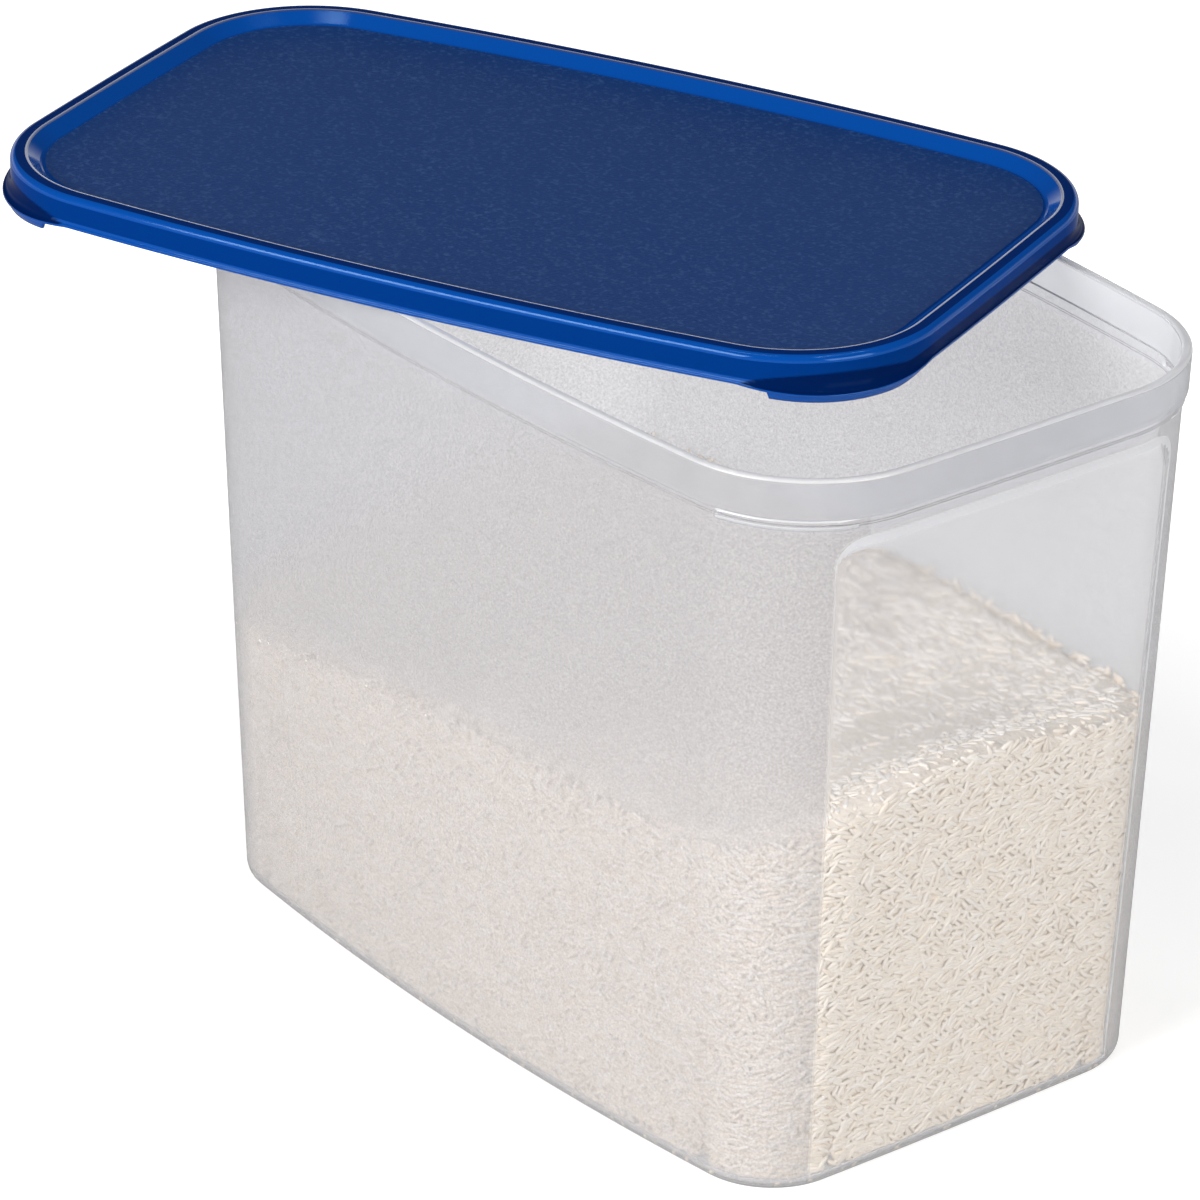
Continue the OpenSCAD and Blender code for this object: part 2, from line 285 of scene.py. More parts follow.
# A path through corners given as (out, up, radius): each corner becomes an arc that touches both its sides
# and takes at most a share of the shorter, with a point just off each end so that the shading stays crisp
def roundedPath(corners, steps=5, crisp=0.25, share=0.48):
    corners = [np.array(c, float) for c in corners]
    path = [corners[0][:2]]
    for before, corner, after in zip(corners, corners[1:], corners[2:]):
        place, radius = corner[:2], corner[2]
        into, out = before[:2] - place, after[:2] - place
        reach = min(np.linalg.norm(into), np.linalg.norm(out)) * share
        into, out = into / np.linalg.norm(into), out / np.linalg.norm(out)
        half = np.arccos(np.clip(into @ out, -1, 1)) / 2
        back = min(radius / np.tan(half), reach)
        radius = back * np.tan(half)
        middle = place + (into + out) / np.linalg.norm(into + out) * np.hypot(back, radius)
        start, end = place + into * back - middle, place + out * back - middle
        turn = np.arctan2(start[0] * end[1] - start[1] * end[0], start @ end)
        angles = turn * np.linspace(0, 1, steps)
        arc = middle + np.stack([start[0] * np.cos(angles) - start[1] * np.sin(angles),
                                 start[0] * np.sin(angles) + start[1] * np.cos(angles)], axis=-1)
        lead = min(crisp, (reach - back) * 0.9)
        if lead > 0.02:
            arc = np.concatenate([[arc[0] + into * lead], arc, [arc[-1] + out * lead]])
        path += list(arc)
    path.append(corners[-1][:2])
    return np.array(path)


# Runs of even steps between given values, joined end to end
def steps(*parts):
    values = [np.linspace(a, b, n, endpoint=False) for a, b, n in parts]
    return np.concatenate(values + [[parts[-1][1]]])


# 0 below 0, 1 above 1 and three squares less two cubes between
def smooth(value):
    value = np.clip(value, 0, 1)
    return value * value * (3 - 2 * value)


container = dict(  # mm
    endDraft=15.4,
    sideDraft=8.0,
    sideBow=9.0,
    endBow=1.4,
    topCorner=46.5,
    baseCorner=28.5,
    wall=1.8,
    floor=2.4,
    baseFillet=5.1,
    rimHeight=13.5,
    rimOut=1.5,
    rimThick=3.3,
    rimRound=1.2,
    leadIn=16.0,
    beadHeight=2.8,
    beadOut=0.9,
    beadEnds=(0.26, 0.88),  # shares of the corner's turn
    beadFade=0.012,  # and of the way over which it rises at its ends
    beadTip=(0.5, 0.018),  # how much fuller it is there, and over what share of the turn
    beadBlunt=0.6,  # below 1 its section is fuller than half a wave
    windowHalf=67.5,
    windowTaper=5.6,
    windowFoot=10.0,
    windowHead=229.8,
    windowRound=10.0,
    windowDepth=0.8,
    coveWidth=(1.2, 4.6),  # at the sides and along the head
    coveRise=(16.0, 12.0),  # it widens from this far below the head, over this much
    windowFade=(6.0, 16.0),  # it starts to sink this far below its foot, over this much
    # painted highlights: the pale edges along the window's cove, on the bead and on the rim's top
    paleCove=(0.45, 2.7),  # width of its pale edge at the sides, and how much more along the head
    paleRise=(12.0, 10.0),  # which widens likewise
    paleRim=0.7,
    paleBulge=0.3,  # where the bead stands out by more it has two pale lines
    paleLower=(0.1, 0.45),  # the lower one's place below the bead and half its width
    paleUpper=0.6,  # how far the other reaches down from the band
    clearFrom=5.2,  # the clear plastic reaches down below the sunken part
)
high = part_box("container")[1] / mm
container["height"] = high.z
for side, reach, draft in (("length", high.x, "endDraft"), ("width", high.y, "sideDraft")):
    container[side] = 2 * (reach - container["rimOut"] + container[draft] * container["rimRound"] / high.z)


# The plan outline at each height: a large arc on each side and end and a small one at each corner, all
# tangent. The corner's middle lies where circles about the other two middles cross, and all sizes run evenly
# from the base to the top.
def planArcs(z, c=container):
    t = np.asarray(z, float) / c["height"]
    a = c["length"] / 2 - c["endDraft"] * (1 - t)
    b = c["width"] / 2 - c["sideDraft"] * (1 - t)
    corner = c["baseCorner"] + (c["topCorner"] - c["baseCorner"]) * t
    side = (a * a + c["sideBow"] ** 2) / (2 * c["sideBow"])
    end = (b * b + c["endBow"] ** 2) / (2 * c["endBow"])
    sideY, endX = b - side, a - end
    u, v = side - corner, end - corner
    gap = np.hypot(endX, sideY)
    along = (u * u - v * v + gap * gap) / (2 * gap)
    across = np.sqrt(u * u - along * along)
    ex, ey = endX / gap, -sideY / gap
    cornerX, cornerY = along * ex + across * ey, sideY + along * ey - across * ex
    return dict(side=side, end=end, corner=corner, sideY=sideY, endX=endX, cornerX=cornerX, cornerY=cornerY,
                first=np.arctan2(cornerY, cornerX - endX), second=np.arctan2(cornerY - sideY, cornerX))


# A point of the outline where its outward direction has the given angle, in the first quarter
def planPoint(arcs, angle, off):
    onEnd, onCorner = angle < arcs["first"], angle < arcs["second"]
    radius = np.where(onEnd, arcs["end"], np.where(onCorner, arcs["corner"], arcs["side"])) + off
    x = np.where(onEnd, arcs["endX"], np.where(onCorner, arcs["cornerX"], 0)) + radius * np.cos(angle)
    y = np.where(onEnd, 0, np.where(onCorner, arcs["cornerY"], arcs["sideY"])) + radius * np.sin(angle)
    return x, y


# The angle at which the outline is a given distance from the middle line
def angleAt(arcs, y):
    endReach = arcs["end"] * np.sin(arcs["first"])
    onCorner = np.arcsin(np.clip((y - arcs["cornerY"]) / arcs["corner"], -1, 1))
    return np.where(y < endReach, np.arcsin(np.clip(y / arcs["end"], -1, 1)), onCorner)


# Half the window's width at each height, without its round corners
def windowSide(z, c=container):
    return c["windowHalf"] - c["windowTaper"] * (c["windowHead"] - z) / (c["windowHead"] - c["windowFoot"])


# The same with the corners: near the head it draws in along a quarter circle
def windowHalf(z, c=container):
    near = np.clip(c["windowHead"] - z, 0, c["windowRound"])
    return windowSide(z) - c["windowRound"] + np.sqrt(c["windowRound"] ** 2 - (c["windowRound"] - near) ** 2)


# Distance to the window's outline, less than 0 inside: that of a tall box with round upper corners, once the
# taper is taken out
def windowEdge(y, z, c=container):
    u = np.abs(y) * c["windowHalf"] / windowSide(z) - c["windowHalf"] + c["windowRound"]
    v = z - c["windowHead"] + c["windowRound"]
    return np.hypot(np.maximum(u, 0), np.maximum(v, 0)) + np.minimum(np.maximum(u, v), 0) - c["windowRound"]


# The whole ring from its first quarter: there and back, twice round
def wholeRing(x, y):
    x = np.concatenate([x, -x[:, -2::-1], -x[:, 1:], x[:, -2:0:-1]], axis=1)
    y = np.concatenate([y, y[:, -2::-1], -y[:, 1:], -y[:, -2:0:-1]], axis=1)
    return x, y


# The same for a value at each point
def wholeValues(values):
    return np.concatenate([values, values[:, -2::-1], values[:, 1:], values[:, -2:0:-1]], axis=1)


# Columns of the container's grid: 0 to 1 across half the window, 1 to 2 round the corner, 2 to 3 along the
# side, closest at the window's edge and at the bead's ends
containerColumns = steps(
    (0, 0.72, 6), (0.72, 0.86, 5), (0.86, 0.96, 10), (0.96, 1, 8), (1, 1.015, 3), (1.015, 1.07, 4),
    (1.07, 1.78, 14), (1.78, 1.9, 10), (1.9, 2.0, 3), (2.0, 3.0, 14),
)


# Rows of (off the wall, height, share of the plan) from the middle of the base up the outside and back down
# inside: the wall's rows are closest at the window's foot and head, and the corners of the rim are arcs
def containerRows(c):
    band, top = c["height"] - c["rimHeight"], c["height"]
    lead = c["rimOut"] - c["rimThick"]
    outside = roundedPath([
        (-c["baseFillet"] * 2, 0, 0), (0, 0, c["baseFillet"]), (0, band - c["beadHeight"] - 2, 0),
    ], steps=9)[1:-1]
    sill, head, turned = c["windowFoot"], c["windowHead"], 1 - np.cos(steps((0, np.pi / 2, 9)))
    wallRows = np.concatenate([
        [sill - 1.5, sill - 0.4], sill + c["windowRound"] * turned, steps((sill + 12, head - 18, 15)),
        np.linspace(head - 17, head - 11, 9), (head - c["windowRound"] * turned)[::-1],
        [head + 0.4, head + 1],
        np.linspace(head + 1.8, band - 0.4, 13),
    ])
    outside = np.concatenate([outside, np.stack([np.zeros_like(wallRows), wallRows], axis=-1)])
    rim = roundedPath([
        (0, band - 0.3, 0), (0, band, 0.2), (c["rimOut"], band + 0.15, 0.4),
        (c["rimOut"], top, c["rimRound"]), (lead, top, c["rimRound"]), (lead, top - c["leadIn"], 0.25),
        (-c["wall"], top - c["leadIn"] - 0.7, 0.4), (-c["wall"], top - c["leadIn"] - 3, 0),
    ])[1:]
    insideRows = np.concatenate([
        head - c["windowRound"] * turned, steps((head - 14, sill + 14, 12)),
        (sill + c["windowRound"] * turned)[::-1],
    ])
    inside = np.stack([np.full_like(insideRows, -c["wall"]), insideRows], axis=-1)
    fillet = roundedPath([
        (-c["wall"], 9.5, 0), (-c["wall"], c["floor"], c["baseFillet"] - c["wall"]),
        (-c["baseFillet"] - 4, c["floor"], 0),
    ], steps=7)[1:]
    rows = np.concatenate([outside, rim, inside, fillet])
    share = np.ones(len(rows))
    foot = np.array([0.04, 0.2, 0.4, 0.6, 0.8, 0.93])  # rings across the base
    first, last = rows[0], rows[-1]
    rows = np.concatenate([np.repeat(first[None], len(foot), 0), rows, np.repeat(last[None], len(foot), 0)])
    share = np.concatenate([foot, share, foot[::-1]])
    number = np.arange(len(rows))
    outer = number < len(foot) + len(outside)
    rimmed = (number >= len(foot) + len(outside)) & (number < len(foot) + len(outside) + len(rim) - 1)
    return rows[:, 0], rows[:, 1], share, outer, rimmed


# The container: the plan outline moved out by each row's value and by the bead, less the window's hollow
def makeContainer(c):
    off, z, share, outside, rimmed = containerRows(c)
    z2, off2, columns = z[:, None], off[:, None], containerColumns[None, :]
    arcs = {key: value[:, None] for key, value in planArcs(z).items()}
    edge = angleAt(arcs, windowHalf(z2) * np.minimum(columns, 1))
    corner = edge + (arcs["second"] - edge) * (columns - 1)
    side = arcs["second"] + (np.pi / 2 - arcs["second"]) * (columns - 2)
    angle = np.where(columns <= 1, edge, np.where(columns <= 2, corner, side))
    turn = (angle - arcs["first"]) / (arcs["second"] - arcs["first"])
    # the bead: half a wave high, under the band between two shares of the corner's turn, fuller at its ends
    band = c["height"] - c["rimHeight"]
    rise = np.clip((z2 - band + c["beadHeight"] + c["beadOut"]) / (c["beadHeight"] + c["beadOut"]), 0, 1)
    ends = np.minimum(turn - c["beadEnds"][0], c["beadEnds"][1] - turn)
    fuller, reach = c["beadTip"]
    bead = np.sin(np.pi * rise) ** c["beadBlunt"] * smooth(ends / c["beadFade"] + 0.5)
    bead = bead * (1 + fuller * np.exp(-((ends - c["beadFade"]) / reach) ** 2))
    bead = np.where(outside[:, None], bead * c["beadOut"], 0)
    x, y = planPoint(arcs, angle, off2 + bead)
    x, y, z3 = *wholeRing(x * share[:, None], y * share[:, None]), np.repeat(z2, len(columns[0]) * 4 - 4, 1)
    # the window: sunk by a hollow that is widest along its head, and fading out towards the foot
    toEdge = np.where(x > 0, windowEdge(y, z3), 50.0)  # the far end has none
    narrow, wide = c["coveWidth"]
    hollow = narrow + (wide - narrow) * smooth((z3 - c["windowHead"] + c["coveRise"][0]) / c["coveRise"][1])
    foot = smooth((z3 - c["windowFoot"] + c["windowFade"][0]) / c["windowFade"][1])
    sunk = np.sin(np.pi / 2 * np.clip(-toEdge / hollow, 0, 1)) * c["windowDepth"] * foot * outside[:, None]
    whole = wholeValues(angle)
    x, y = x - sunk * np.cos(whole), y - sunk * np.sin(whole) * np.sign(y)
    mesh = skinMesh("container", np.stack([x, y, z3], axis=-1) * mm)
    # the faces inside the window's outline and those of the rim take the clear and the polished material
    rowCount, columnCount = x.shape
    number = np.arange(len(mesh.polygons))
    row, column = np.minimum(number // columnCount, rowCount - 2), number % columnCount
    reach = np.argmin(np.abs(containerColumns - 1))
    across = (column < reach) | (column >= columnCount - reach)
    middle = (z[row] + z[row + 1]) / 2
    window = across & (middle > c["clearFrom"]) & (middle < c["windowHead"])
    above = across & outside[row] & (middle > c["windowHead"]) & (middle < c["height"] - c["rimHeight"])
    # painted highlights, as pale edges: the cove along the window's head, the bead's two lines and the rim's
    # rounded top
    beside = (column + 1) % columnCount
    faceY = (np.abs(y[row, column]) + np.abs(y[row + 1, beside])) / 2
    depth = -windowEdge(faceY, middle)
    wider = smooth((middle - c["windowHead"] + c["paleRise"][0]) / c["paleRise"][1])
    cove = window & outside[row] & (depth < c["paleCove"][0] + c["paleCove"][1] * wider)
    bulge = wholeValues(bead)[row, column] > c["paleBulge"]
    lower = np.abs(middle - band + c["beadHeight"] + c["paleLower"][0]) < c["paleLower"][1]
    lines = bulge & (lower | (middle > band - c["paleUpper"]))
    pale = cove | lines | (rimmed[row] & (middle > c["height"] - c["paleRim"]))
    kind = np.where(pale, 3, np.where(rimmed[row] | bulge, 2, np.where(window | above, 1, 0)))
    kind = kind * (number < (rowCount - 1) * columnCount)
    mesh.polygons.foreach_set("material_index", kind.astype(np.int32))
    return mesh


plastic = dict(
    frosted=dict(
        colour=(0.755, 0.75, 0.765, 1), rough=0.25, through=0.78, bump=0.25, grain=1300.0, speckle=0.14,
    ),
    window=dict(colour=(0.985, 0.99, 1.0, 1), rough=0.06, through=0.93, bump=0.02, grain=60.0, speckle=0.0),
    rim=dict(colour=(0.745, 0.755, 0.785, 1), rough=0.16, through=0.80, bump=0.03, grain=90.0, speckle=0.02),
    # painted highlight: a paler plastic that lets less through, for the pale edges
    edge=dict(colour=(0.88, 0.885, 0.91, 1), rough=0.2, through=0.5, bump=0.02, grain=60.0, speckle=0.0),
    lampShare=(0.96, 0.96, 0.96, 1),  # of a lamp's light that comes through
    bend=1.49,  # index of refraction
    bumpDepth=0.0003,  # m
    tinted=(0.35, 0.65),  # the noise at the darker tint and at the lighter
)


# Milky plastic: a blend of clear and hazy, with a bump from a fine noise that also tints it a little lighter
# and darker, and open to what lamps send and to light that other surfaces scatter
def plasticMaterial(name, p):
    made, tree, output = newMaterial(name)
    place = objectPlace(tree)
    grain = node(tree, "TexNoise", Vector=place, Scale=p["grain"], Detail=2.0, Roughness=0.6).outputs["Fac"]
    bump = node(tree, "Bump", Height=grain, Strength=p["bump"], Distance=plastic["bumpDepth"])
    darker = tuple(v * (1 - p["speckle"]) for v in p["colour"][:3]) + (1,)
    lighter = tuple(min(1, v * (1 + p["speckle"])) for v in p["colour"][:3]) + (1,)
    colour = blendColour(tree, remap(tree, grain, *plastic["tinted"]), darker, lighter)
    body = node(tree, "BsdfPrincipled", Base_Color=colour, Roughness=p["rough"], IOR=plastic["bend"],
                Transmission_Weight=p["through"], Normal=bump.outputs[0])
    lamps = node(tree, "BsdfTransparent", Color=plastic["lampShare"])
    path = node(tree, "LightPath").outputs
    indoors = node(tree, "MixShader", i0=path["Is Diffuse Ray"], i1=body.outputs[0], i2=lamps.outputs[0])
    both = node(tree, "MixShader", i0=path["Is Shadow Ray"], i1=indoors.outputs[0], i2=lamps.outputs[0])
    tree.links.new(both.outputs[0], output.inputs["Surface"])
    return made


finishes = [plasticMaterial(name + "Plastic", plastic[name]) for name in ("frosted", "window", "rim", "edge")]
addPiece("containerShell", makeContainer(container), "container", "container", finishes)
print("container made")


lid = dict(  # mm, with the crown at height 0
    thick=1.4,
    gap=0.25,
    height=10.7,
    crown=5.4,
    crownRound=2.3,
    slope=4.2,
    panelDrop=3.5,
    ridge=0.6,
    snap=0.45,
    tabCorner=44.5,
    tabDrop=2.2,
    lipHeight=2.2,
    lipStart=0.3,  # share of the corner's turn by which the lip has its full height
    lipEnd=0.83,  # share at which it ends square
    lipFade=0.008,
    # painted shade: the lower part of the skirt is drawn darker, up to this height
    shade=4.9,  # height of the darker lower part
    shadeFade=0.6,
    shadeFoot=0.9,  # height from which it starts
    shadeTab=0.6,  # the power of a tab's reach by which it rises there
    shadeEnd=0.5,  # share of the corner's turn over which the short side's ends
    shadeFrom=0.95,  # a face this dark all over takes a dull material
    outside=0.2,  # rows no further in than this lie on the skirt's outside
    edge=0.75,  # width of the crown's inner edge that takes a sheen as a painted highlight
    turn=23.1,  # degrees
    shift=(-63.2, -9.0),
    restGap=0.3,
)
lidColumns = steps((0, 1, 8), (1, 1.06, 4), (1.06, 1.8, 26), (1.8, 1.86, 10), (1.86, 2, 6), (2, 3, 18))


# How far a tab's own corner arc stands out past the skirt's
def tabReach(turn, skirtCorner, c=lid):
    shift = skirtCorner - c["tabCorner"]
    angle = np.pi / 2 * turn
    along, across = shift * (np.cos(angle) + np.sin(angle)), shift * (np.cos(angle) - np.sin(angle))
    reach = along + np.sqrt(c["tabCorner"] ** 2 - across ** 2) - skirtCorner
    return np.where((turn > 0) & (turn < 1), np.maximum(reach, 0), 0)


# Rows of (off the skirt's face, height, share of the tab's reach, of its drop, of the lip's height), from the
# middle of the underside out and down to the lip, round the tab, up the skirt and in to the panel
def lidRows(c):
    h, t, r = -c["height"], c["thick"], c["ridge"]
    panel = -c["crown"] - c["slope"]
    length = np.hypot(c["slope"], c["panelDrop"])
    out, down = t * c["panelDrop"] / length, t * c["slope"] / length
    under = roundedPath([
        (panel - 8, -c["panelDrop"] - t, 0), (panel - out / 2, -c["panelDrop"] - t, 1.0),
        (-c["crown"] + out, -down, 1.2), (-t, -t, 0.8), (-t, h + 1.9, 0.4),
        (-t - c["snap"], h + 1.35, 0.3), (-t - c["snap"], h + 0.8, 0.3), (-t, h + 0.35, 0),
    ], steps=4)
    foot = np.array([  # the lip, the tab's flange and the ridge
        (-1.1, h + 0.1, 0.20, 0.75, 0.6), (-0.75, h, 0.35, 1, 1), (-0.35, h - 0.05, 0.42, 1, 1),
        (0.0, h, 0.5, 1, 1), (0.08, h + 0.05, 0.54, 1, 0.4), (0.14, h + 0.08, 0.56, 1, 0),
        (r * 0.4, h + 0.05, 0.75, 1, 0), (r * 0.65, h + 0.08, 0.9, 1, 0), (r * 0.9, h + 0.2, 0.97, 1, 0),
        (r, h + 0.42, 1, 1, 0), (r, h + 0.75, 1, 1, 0), (r * 0.9, h + 0.98, 0.97, 1, 0),
        (r * 0.65, h + 1.14, 0.91, 1, 0), (r * 0.4, h + 1.22, 0.8, 0.97, 0), (0.16, h + 1.3, 0.62, 0.9, 0),
        (0.1, h + 1.5, 0.42, 0.74, 0), (0.05, h + 1.8, 0.24, 0.5, 0), (0.0, h + 2.2, 0.1, 0.24, 0),
        (0.0, h + 2.8, 0.02, 0.06, 0), (0.0, h + 3.3, 0, 0, 0), (0.0, h + 3.8, 0, 0, 0),
        (0.0, h + 4.3, 0, 0, 0), (0.0, h + 4.8, 0, 0, 0), (0.0, h + 5.3, 0, 0, 0),
    ])
    over = roundedPath([
        (0, h + 5.8, 0), (0, 0, c["crownRound"]), (-c["crown"], 0, 0.8), (panel, -c["panelDrop"] - 0.1, 0.8),
        (panel - 0.7, -c["panelDrop"] - 0.45, 0.3), (panel - 1.2, -c["panelDrop"] - 0.45, 0.3),
        (panel - 1.8, -c["panelDrop"], 0.4), (panel - 8, -c["panelDrop"], 0),
    ], steps=7)
    flat = lambda path: np.concatenate([path, np.zeros((len(path), 3))], axis=1)
    return np.concatenate([flat(under), foot, flat(over)]), len(under) + len(foot)


# The lid: the tub's top outline moved out by each row's value and its share of the tab's reach, then turned
# and shifted to where it lies on the rim
def makeLid(c):
    rows, topStart = lidRows(c)
    face = container["rimOut"] + c["gap"] + c["thick"]
    arcs = planArcs(container["height"])
    columns = lidColumns[None, :]
    angle = np.where(columns <= 1, arcs["first"] * columns, np.where(
        columns <= 2, arcs["first"] + (arcs["second"] - arcs["first"]) * (columns - 1),
        arcs["second"] + (np.pi / 2 - arcs["second"]) * (columns - 2)))
    turn = np.clip(columns - 1, 0, 1)
    reach = tabReach(turn, container["topCorner"] + face)
    weight = reach / reach.max()
    off, z, tab, drop, lip = (rows[:, i:i + 1] for i in range(5))
    # the lip hangs from the middle of the short side to a square end near the end of the corner
    hang = smooth(turn / c["lipStart"]) * smooth((c["lipEnd"] - turn) / c["lipFade"] + 0.5)
    # painted shade: the lower part of the skirt is darker along the short sides and on the tabs
    dark = np.maximum(weight ** c["shadeTab"], smooth(1 - turn / c["shadeEnd"]))
    dark = c["shade"] * dark - (z + c["height"])
    shade = smooth(dark / c["shadeFade"] + 0.5) * (z > c["shadeFoot"] - c["height"]) * (off > -c["outside"])
    z = z - drop * c["tabDrop"] * weight - lip * c["lipHeight"] * hang
    x, y = planPoint(arcs, angle, face + off + tab * reach)
    shares = np.array([0.03, 0.15, 0.35, 0.55, 0.75, 0.9])[:, None]  # across the underside and the panel
    rings = len(shares)
    x = np.concatenate([shares * x[:1], x, shares[::-1] * x[-1:]])
    y = np.concatenate([shares * y[:1], y, shares[::-1] * y[-1:]])
    z = np.concatenate([np.repeat(z[:1], rings, 0), z, np.repeat(z[-1:], rings, 0)])
    shade = np.concatenate([np.repeat(shade[:1], rings, 0), shade, np.repeat(shade[-1:], rings, 0)])
    x, y = wholeRing(x, y)
    z = wholeValues(np.broadcast_to(z, (len(z), len(lidColumns))))
    angle = np.radians(c["turn"])
    place = np.stack([
        x * np.cos(angle) - y * np.sin(angle) + c["shift"][0],
        x * np.sin(angle) + y * np.cos(angle) + c["shift"][1],
        z + container["height"] + c["restGap"] + c["height"],
    ], axis=-1)
    shade = wholeValues(shade)
    mesh = skinMesh("lid", place * mm, dict(shade=shade))
    # the panel's top takes the second, textured material, and the crown's flat top the third, whose darker
    # blue is painted shade
    rowCount, columnCount = place.shape[:2]
    panelRow = rowCount - rings - 9  # the groove round the panel and what lies within it
    number = np.arange(len(mesh.polygons))
    row = np.minimum(number // columnCount, rowCount - 2)
    poles = (rowCount - 1) * columnCount  # where their faces begin
    panel = (number // columnCount >= panelRow) & (number < poles)
    panel |= number >= poles + columnCount
    up, inward = np.full((2, rowCount), -99.0)  # the rings count as low and far in
    up[rings:-rings], inward[rings:-rings] = rows[:, 1], rows[:, 0]
    flat = np.minimum(up[row], up[row + 1]) > -0.12
    flat &= np.minimum(inward[row], inward[row + 1]) > -c["crown"] - 0.05
    kind = np.where(panel, 1, np.where(flat & (number < poles), 2, 0))
    # the skirt's flat face takes the fourth, duller one, and the crown's inner edge the fifth, whose sheen is
    # a painted highlight
    height = (up[row] + up[np.minimum(row + 1, rowCount - 1)]) / 2
    depth = (inward[row] + inward[np.minimum(row + 1, rowCount - 1)]) / 2
    over = topStart + rings
    skirt = (row >= over) & (height < -c["crownRound"]) & (depth > -c["outside"])
    skirt |= (row >= over - 7) & (row < over)  # the foot's last rows
    kind = np.where(skirt, 3, kind)
    edge = (row > over) & (depth < c["edge"] - c["crown"]) & (height > -0.5)
    kind = np.where(edge & (kind != 1), 4, kind)
    # faces wholly in the painted shade take the sixth
    deep = np.minimum(shade[:-1], shade[1:])
    deep = np.minimum(deep, np.roll(deep, -1, axis=1)).ravel()
    kind[:len(deep)] = np.where(deep > c["shadeFrom"], 5, kind[:len(deep)])
    mesh.polygons.foreach_set("material_index", kind.astype(np.int32))
    return mesh


lidColour = dict(
    base=(0.002, 0.062, 0.32, 1),
    # painted shade: a darker copy of the blue for the crown's flat top, also under the inner edge's sheen
    crown=(0.0006, 0.021, 0.135, 1),
    skirt=(0.0005, 0.033, 0.195, 1),
    # painted shade: the blue of the skirt's darker lower part
    shade=(0.0005, 0.011, 0.073, 1),
    sheen=(0.95, 0.97, 1.0, 1),  # of the crown's inner edge, a painted highlight
    sheenRough=0.5,
    tint=(0.45, 0.75, 1.0, 1),  # of what shines in it
    rough=0.10,
    gloss=0.35,
    skirtGloss=0.012,
    shadeGloss=0.015,
    panel=(0.0045, 0.038, 0.166, 1),
    dust=(0.05, 0.12, 0.30, 1),
    panelRough=0.5,
    panelGloss=0.3,
    bend=1.49,  # index of refraction
    wave=dict(scale=60.0, strength=0.05, depth=0.0004),  # of the glossy parts
    grain=dict(scale=900.0, strength=0.5, depth=0.0002),  # of the panel
    speck=dict(scale=620.0, low=0.52, high=0.78, most=0.55),  # where the noise is high the dust shows
)


# Glossy blue with long shallow waves in its surface, darkened as painted shade where the mesh's shade
# attribute says
def glossMaterial(name, colour, gloss, p, sheen=0.0):
    made, tree, output = newMaterial(name)
    wave = node(tree, "TexNoise", Vector=objectPlace(tree), Scale=p["wave"]["scale"], Detail=2.0)
    bump = node(tree, "Bump", Height=wave.outputs["Fac"], Strength=p["wave"]["strength"],
                Distance=p["wave"]["depth"])
    body = node(tree, "BsdfPrincipled", Roughness=p["rough"], IOR=p["bend"],
                Specular_IOR_Level=gloss, Specular_Tint=p["tint"], Sheen_Weight=sheen,
                Sheen_Roughness=p["sheenRough"], Sheen_Tint=p["sheen"], Normal=bump.outputs[0])
    tree.links.new(blendColour(tree, carried(tree, "shade"), colour, p["shade"]), body.inputs["Base Color"])
    tree.links.new(body.outputs[0], output.inputs["Surface"])
    return made


# Dull blue with a fine grain, and a paler dust where a second noise is high
def texturedMaterial(p):
    made, tree, output = newMaterial("blueTextured")
    place = objectPlace(tree)
    grain = node(tree, "TexNoise", Vector=place, Scale=p["grain"]["scale"], Detail=3.0, Roughness=0.6)
    speck = node(tree, "TexNoise", Vector=place, Scale=p["speck"]["scale"], Detail=2.0)
    dust = remap(tree, speck.outputs["Fac"], p["speck"]["low"], p["speck"]["high"], 0.0, p["speck"]["most"])
    colour = blendColour(tree, dust, p["panel"], p["dust"])
    bump = node(tree, "Bump", Height=grain.outputs["Fac"], Strength=p["grain"]["strength"],
                Distance=p["grain"]["depth"])
    body = node(tree, "BsdfPrincipled", Base_Color=colour, Roughness=p["panelRough"], IOR=p["bend"],
                Specular_IOR_Level=p["panelGloss"], Normal=bump.outputs[0])
    tree.links.new(body.outputs[0], output.inputs["Surface"])
    return made


addPiece("lidShell", makeLid(lid), "lid", "lid", [
    glossMaterial("blueGloss", lidColour["base"], lidColour["gloss"], lidColour),
    texturedMaterial(lidColour),
    # painted shade: the crown's flat top in a darker copy of the blue
    glossMaterial("blueCrown", lidColour["crown"], lidColour["gloss"], lidColour),
    glossMaterial("blueSkirt", lidColour["skirt"], lidColour["skirtGloss"], lidColour),
    # painted highlight: a sheen on the crown's inner edge
    glossMaterial("blueEdge", lidColour["crown"], lidColour["gloss"], lidColour, sheen=1.0),
    # painted shade: the skirt's darker lower part, with almost no gloss
    glossMaterial("blueShade", lidColour["skirt"], lidColour["shadeGloss"], lidColour),
])
print("lid made")

